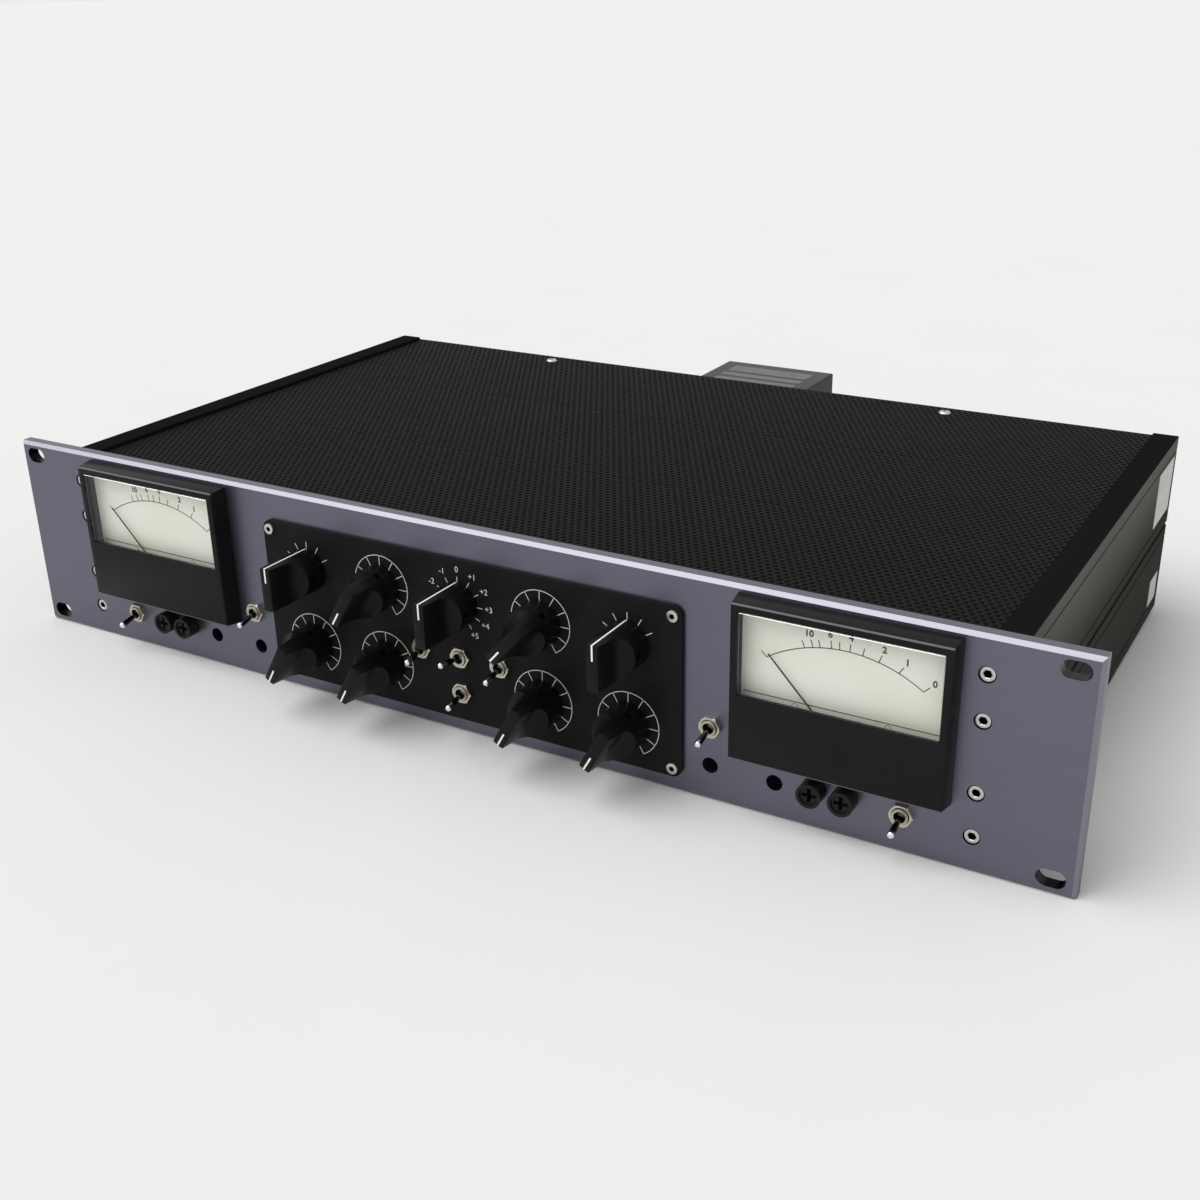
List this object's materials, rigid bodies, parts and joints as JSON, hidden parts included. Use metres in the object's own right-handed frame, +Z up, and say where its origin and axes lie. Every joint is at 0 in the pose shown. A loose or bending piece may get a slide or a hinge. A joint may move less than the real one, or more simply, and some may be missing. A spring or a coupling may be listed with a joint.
{
  "type": "rack effects unit",
  "caption": "Rack audio compressor: metal front panel with needle meters, pointer knobs, toggle switches and trimmers, perforated covers, rear connectors and a power transformer.",
  "frame": {"origin": "centre of the whole unit's footprint, at the height of the front panel's lower edge", "axes": "+X to the right of someone facing the front panel, +Y from the front panel to the rear, +Z up"},
  "size_m": [0.4826, 0.3282, 0.0881],
  "materials": {
    "panel_anodised": "brushed, anodised",
    "plate_black": "satin",
    "rail_dark": "satin",
    "cover_mesh": "satin, perforated",
    "screw_steel": "bright",
    "meter_black": "gloss",
    "meter_clear": "clear",
    "dial_cream": "painted, matt",
    "movement_metal": "plated",
    "needle_dark": "satin",
    "knob_black": "satin",
    "pot_metal": "plated",
    "nut_nickel": "nickel plated",
    "lever_chrome": "polished",
    "switch_body": "moulded",
    "trimmer_blue": "moulded",
    "trimmer_screw": "moulded",
    "jack_black": "moulded",
    "connector_black": "moulded",
    "connector_metal": "nickel plated",
    "can_enamel": "enamel",
    "core_iron": "varnished",
    "board_green": "laminate",
    "part_sleeve": "sleeved",
    "valve_glass": "clear"
  },
  "bodies": {
    "unit": {"front_panel": "panel_anodised", "control_plate": "plate_black", "right_side_rails": "rail_dark", "left_side_rails": "rail_dark", "rear_panel": "rail_dark", "top_cover": "cover_mesh", "bottom_cover": "cover_mesh", "front_screws": "screw_steel", "chassis_screws": "screw_steel", "left_meter_case": "meter_black", "right_meter_case": "meter_black", "left_meter_window": "meter_clear", "right_meter_window": "meter_clear", "left_meter_dial": "dial_cream", "right_meter_dial": "dial_cream", "left_meter_movement": "movement_metal", "right_meter_movement": "movement_metal", "potentiometers": "pot_metal", "rotary_switches": "pot_metal", "control_nuts": "nut_nickel", "toggle_nuts": "nut_nickel", "toggle_switches": "switch_body", "trimmer_bodies": "trimmer_blue", "test_jacks": "jack_black", "mains_inlet": "connector_black", "power_switch_frame": "connector_black", "fuse_holder": "connector_black", "xlr_inputs": "connector_metal", "xlr_outputs": "connector_metal", "transformer_can": "can_enamel", "audio_transformers": "can_enamel", "transformer_core": "core_iron", "main_board": "board_green", "board_components": "part_sleeve", "valves": "valve_glass"},
    "left_meter_needle": {"left_meter_needle": "needle_dark"},
    "right_meter_needle": {"right_meter_needle": "needle_dark"},
    "left_recovery_knob": {"left_recovery_knob": "knob_black"},
    "left_output_knob": {"left_output_knob": "knob_black"},
    "left_threshold_knob": {"left_threshold_knob": "knob_black"},
    "left_attack_knob": {"left_attack_knob": "knob_black"},
    "input_knob": {"input_knob": "knob_black"},
    "right_output_knob": {"right_output_knob": "knob_black"},
    "right_attack_knob": {"right_attack_knob": "knob_black"},
    "right_recovery_knob": {"right_recovery_knob": "knob_black"},
    "right_threshold_knob": {"right_threshold_knob": "knob_black"},
    "left_bypass_lever": {"left_bypass_lever": "lever_chrome"},
    "right_bypass_lever": {"right_bypass_lever": "lever_chrome"},
    "left_limit_lever": {"left_limit_lever": "lever_chrome"},
    "right_limit_lever": {"right_limit_lever": "lever_chrome"},
    "left_matrix_lever": {"left_matrix_lever": "lever_chrome"},
    "right_matrix_lever": {"right_matrix_lever": "lever_chrome"},
    "link_lever": {"link_lever": "lever_chrome"},
    "filter_lever": {"filter_lever": "lever_chrome"},
    "left_meter_trimmer": {"left_meter_trimmer": "trimmer_screw"},
    "left_adjust_trimmer": {"left_adjust_trimmer": "trimmer_screw"},
    "right_meter_trimmer": {"right_meter_trimmer": "trimmer_screw"},
    "right_adjust_trimmer": {"right_adjust_trimmer": "trimmer_screw"},
    "power_rocker": {"power_rocker": "connector_black"},
    "fuse_cap": {"fuse_cap": "connector_black"}
  },
  "joints": [
    {"name": "left_recovery_knob_turn", "type": "hinge", "parent": "unit", "child": "left_recovery_knob", "pos_m": [-0.0748, -0.13975, 0.0575], "axis": [0, 1, 0], "range_deg": [-60, 60]},
    {"name": "left_output_knob_turn", "type": "hinge", "parent": "unit", "child": "left_output_knob", "pos_m": [-0.0374, -0.13975, 0.0575], "axis": [0, 1, 0], "range_deg": [-2, 298]},
    {"name": "left_threshold_knob_turn", "type": "hinge", "parent": "unit", "child": "left_threshold_knob", "pos_m": [-0.0748, -0.13975, 0.0242], "axis": [0, 1, 0], "range_deg": [0, 300]},
    {"name": "left_attack_knob_turn", "type": "hinge", "parent": "unit", "child": "left_attack_knob", "pos_m": [-0.0374, -0.13975, 0.0242], "axis": [0, 1, 0], "range_deg": [0, 300]},
    {"name": "input_knob_turn", "type": "hinge", "parent": "unit", "child": "input_knob", "pos_m": [0, -0.13975, 0.0575], "axis": [0, 1, 0], "range_deg": [-150, 150]},
    {"name": "right_output_knob_turn", "type": "hinge", "parent": "unit", "child": "right_output_knob", "pos_m": [0.0374, -0.13975, 0.0575], "axis": [0, 1, 0], "range_deg": [-12, 288]},
    {"name": "right_attack_knob_turn", "type": "hinge", "parent": "unit", "child": "right_attack_knob", "pos_m": [0.0374, -0.13975, 0.0242], "axis": [0, 1, 0], "range_deg": [0, 300]},
    {"name": "right_recovery_knob_turn", "type": "hinge", "parent": "unit", "child": "right_recovery_knob", "pos_m": [0.0748, -0.13975, 0.0575], "axis": [0, 1, 0], "range_deg": [-60, 60]},
    {"name": "right_threshold_knob_turn", "type": "hinge", "parent": "unit", "child": "right_threshold_knob", "pos_m": [0.0748, -0.13975, 0.0242], "axis": [0, 1, 0], "range_deg": [0, 300]},
    {"name": "left_bypass_lever_turn", "type": "hinge", "parent": "unit", "child": "left_bypass_lever", "pos_m": [-0.181, -0.13725, 0.0155], "axis": [-1, 0, 0], "range_deg": [0, 25]},
    {"name": "right_bypass_lever_turn", "type": "hinge", "parent": "unit", "child": "right_bypass_lever", "pos_m": [0.181, -0.13725, 0.0155], "axis": [-1, 0, 0], "range_deg": [0, 25]},
    {"name": "left_limit_lever_turn", "type": "hinge", "parent": "unit", "child": "left_limit_lever", "pos_m": [-0.1082, -0.13725, 0.031], "axis": [-1, 0, 0], "range_deg": [0, 25]},
    {"name": "right_limit_lever_turn", "type": "hinge", "parent": "unit", "child": "right_limit_lever", "pos_m": [0.1082, -0.13725, 0.031], "axis": [-1, 0, 0], "range_deg": [0, 25]},
    {"name": "left_matrix_lever_turn", "type": "hinge", "parent": "unit", "child": "left_matrix_lever", "pos_m": [-0.0187, -0.13885, 0.0348], "axis": [-1, 0, 0], "range_deg": [0, 25]},
    {"name": "right_matrix_lever_turn", "type": "hinge", "parent": "unit", "child": "right_matrix_lever", "pos_m": [0.0187, -0.13885, 0.0348], "axis": [-1, 0, 0], "range_deg": [0, 25]},
    {"name": "link_lever_turn", "type": "hinge", "parent": "unit", "child": "link_lever", "pos_m": [0, -0.13885, 0.0348], "axis": [0, 0, 1], "range_deg": [0, 25]},
    {"name": "filter_lever_turn", "type": "hinge", "parent": "unit", "child": "filter_lever", "pos_m": [0, -0.13885, 0.0193], "axis": [-1, 0, 0], "range_deg": [0, 25]},
    {"name": "left_meter_trimmer_turn", "type": "hinge", "parent": "unit", "child": "left_meter_trimmer", "pos_m": [-0.108, -0.12935, 0.0146], "axis": [0, 1, 0], "range_deg": [-135, 135]},
    {"name": "left_adjust_trimmer_turn", "type": "hinge", "parent": "unit", "child": "left_adjust_trimmer", "pos_m": [-0.1335, -0.12935, 0.0144], "axis": [0, 1, 0], "range_deg": [-135, 135]},
    {"name": "right_meter_trimmer_turn", "type": "hinge", "parent": "unit", "child": "right_meter_trimmer", "pos_m": [0.108, -0.12935, 0.0146], "axis": [0, 1, 0], "range_deg": [-135, 135]},
    {"name": "right_adjust_trimmer_turn", "type": "hinge", "parent": "unit", "child": "right_adjust_trimmer", "pos_m": [0.1335, -0.12935, 0.0144], "axis": [0, 1, 0], "range_deg": [-135, 135]},
    {"name": "left_meter_needle_turn", "type": "hinge", "parent": "unit", "child": "left_meter_needle", "pos_m": [-0.1577, -0.13935, 0.0377], "axis": [0, 1, 0], "range_deg": [0, 90], "stiffness_Nm_per_rad": 0.0001, "springref_deg": -17.19},
    {"name": "right_meter_needle_turn", "type": "hinge", "parent": "unit", "child": "right_meter_needle", "pos_m": [0.1577, -0.13935, 0.0377], "axis": [0, 1, 0], "range_deg": [0, 90], "stiffness_Nm_per_rad": 0.0001, "springref_deg": -17.19},
    {"name": "power_rocker_turn", "type": "hinge", "parent": "unit", "child": "power_rocker", "pos_m": [-0.15, 0.11265, 0.062], "axis": [0, 0, 1], "range_deg": [-18, 0]},
    {"name": "fuse_cap_turn", "type": "hinge", "parent": "unit", "child": "fuse_cap", "pos_m": [-0.108, 0.11865, 0.03], "axis": [0, 1, 0], "range_deg": [0, 90]}
  ]
}
